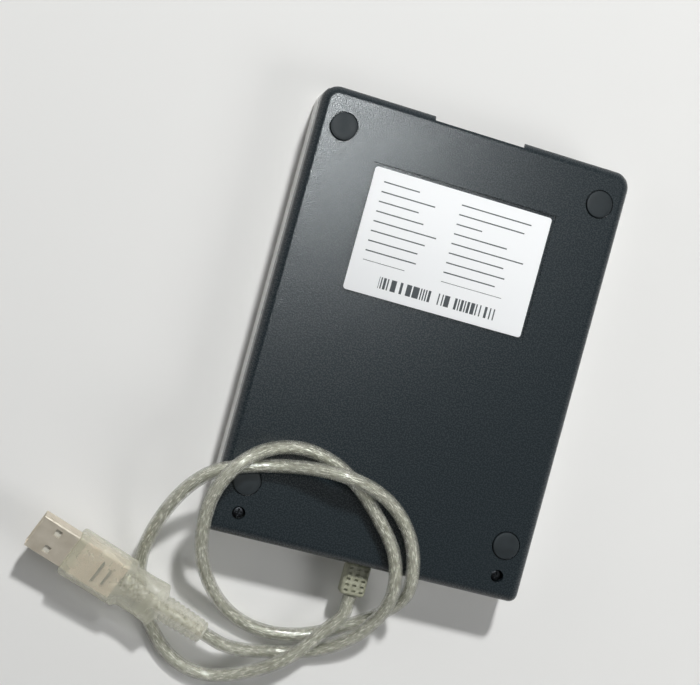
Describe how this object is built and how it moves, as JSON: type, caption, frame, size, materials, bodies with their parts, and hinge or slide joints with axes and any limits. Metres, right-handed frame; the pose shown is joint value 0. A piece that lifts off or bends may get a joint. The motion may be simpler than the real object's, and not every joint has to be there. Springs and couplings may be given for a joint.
{
  "type": "external floppy disk drive",
  "caption": "Slim external floppy disk drive lying on its lid, underside up, with its slot, eject button, working inner mechanism and a clear jacketed cable coiled to a flat plug.",
  "frame": {"origin": "middle of the lid's flat outer face, which the drive lies on as pictured", "axes": "+X across the case, +Y from the front panel to the cable's end, +Z from the lid to the underside with its feet"},
  "size_m": [0.1537, 0.1914, 0.0281],
  "materials": {
    "charcoal_plastic": "fine moulded texture",
    "silver_plastic": "satin",
    "black_plastic": "satin",
    "foot_rubber": "matt",
    "label_stock": "satin paper-like film",
    "zinc_steel": "zinc plated",
    "nickel_plate": "satin nickel",
    "brass": "plain",
    "board_laminate": "solder mask",
    "chip_resin": "matt",
    "clear_vinyl": "clear, faintly yellow green",
    "white_nylon": "satin",
    "light_acrylic": "clear green tint",
    "amber_film": "satin film"
  },
  "bodies": {
    "case": {"top_cover": "silver_plastic", "bottom_shell": "charcoal_plastic", "front_bezel": "charcoal_plastic", "foot_front_left": "foot_rubber", "foot_front_right": "foot_rubber", "foot_rear_left": "foot_rubber", "foot_rear_right": "foot_rubber", "rating_label": "label_stock", "case_screw_left": "zinc_steel", "case_screw_right": "zinc_steel", "light_pipe": "light_acrylic", "dust_door_spring": "zinc_steel", "drive_chassis": "zinc_steel", "eject_spring": "zinc_steel", "chassis_screw_front_left": "zinc_steel", "chassis_screw_rear_left": "zinc_steel", "chassis_screw_front_right": "zinc_steel", "chassis_screw_rear_right": "zinc_steel", "spindle_stator": "zinc_steel", "spindle_bearing": "brass", "main_board": "board_laminate", "controller_chip": "chip_resin", "motor_driver_chip": "chip_resin", "activity_led": "light_acrylic", "usb_board": "board_laminate", "usb_bridge_chip": "chip_resin", "ribbon_connector_front": "white_nylon", "ribbon_connector_rear": "white_nylon", "ribbon_cable": "amber_film", "guide_rod_left": "zinc_steel", "guide_rod_right": "zinc_steel", "stepper_motor": "zinc_steel", "lead_screw_bracket": "black_plastic", "switch_block": "black_plastic", "cord_strain_relief": "clear_vinyl", "cord": "clear_vinyl", "cord_connector": "white_nylon", "cord_lead": "clear_vinyl", "plug_overmould": "clear_vinyl", "plug_shield": "nickel_plate", "plug_shell": "nickel_plate", "plug_tongue": "white_nylon"},
    "door": {"dust_door": "black_plastic"},
    "slider": {"slider_plate": "zinc_steel", "eject_button": "silver_plastic"},
    "cradle": {"disk_cradle": "zinc_steel", "shutter_lever_spring": "zinc_steel"},
    "lever": {"shutter_lever": "zinc_steel"},
    "spindle": {"spindle_rotor": "zinc_steel", "spindle_shaft": "zinc_steel", "drive_pin": "brass"},
    "carriage": {"head_carriage": "black_plastic", "lower_head": "chip_resin", "head_load_spring": "zinc_steel"},
    "head_arm": {"upper_head_arm": "zinc_steel", "upper_head": "chip_resin"},
    "screw": {"lead_screw": "zinc_steel"},
    "disk_in_switch": {"disk_in_plunger": "white_nylon"},
    "write_protect_switch": {"write_protect_plunger": "white_nylon"},
    "density_switch": {"density_plunger": "white_nylon"}
  },
  "joints": [
    {"name": "cradle_drop", "type": "slide", "parent": "case", "child": "cradle", "axis": [0, 0, 1], "range_m": [0, 0.0016]},
    {"name": "eject_slide", "type": "slide", "parent": "case", "child": "slider", "axis": [0, -1, 0], "range_m": [0, 0.0045]},
    {"name": "dust_door_hinge", "type": "hinge", "parent": "case", "child": "door", "pos_m": [0, -0.06625, 0.0033], "axis": [-1, 0, 0], "range_deg": [0, 85], "stiffness_Nm_per_rad": 0.0002},
    {"name": "shutter_lever_hinge", "type": "hinge", "parent": "cradle", "child": "lever", "pos_m": [-0.038, 0.004, 0.0034], "axis": [0, 0, 1], "range_deg": [0, 55], "stiffness_Nm_per_rad": 0.0003},
    {"name": "spindle_turn", "type": "hinge", "parent": "case", "child": "spindle", "pos_m": [0, -0.021, 0.012], "axis": [0, 0, 1], "continuous": true},
    {"name": "carriage_slide", "type": "slide", "parent": "case", "child": "carriage", "axis": [0, -1, 0], "range_m": [0, 0.01485]},
    {"name": "head_arm_hinge", "type": "hinge", "parent": "carriage", "child": "head_arm", "pos_m": [0, 0.044, 0.003], "axis": [-1, 0, 0], "range_deg": [0, 7]},
    {"name": "lead_screw_turn", "type": "hinge", "parent": "case", "child": "screw", "pos_m": [0.0185, 0.04, 0.011], "axis": [0, 1, 0], "range_deg": [0, 1782]},
    {"name": "disk_in_press", "type": "slide", "parent": "case", "child": "disk_in_switch", "axis": [0, 0, 1], "range_m": [0, 0.0008], "stiffness_N_per_m": 5},
    {"name": "write_protect_press", "type": "slide", "parent": "case", "child": "write_protect_switch", "axis": [0, 0, 1], "range_m": [0, 0.0008], "stiffness_N_per_m": 5},
    {"name": "density_press", "type": "slide", "parent": "case", "child": "density_switch", "axis": [0, 0, 1], "range_m": [0, 0.0008], "stiffness_N_per_m": 5}
  ],
  "couplings": [
    {"joint": "eject_slide", "follows": "cradle_drop", "ratio": 2.8125},
    {"joint": "head_arm_hinge", "follows": "cradle_drop", "rad_per_m": 76.35},
    {"joint": "lead_screw_turn", "follows": "carriage_slide", "rad_per_m": 2094.4}
  ]
}
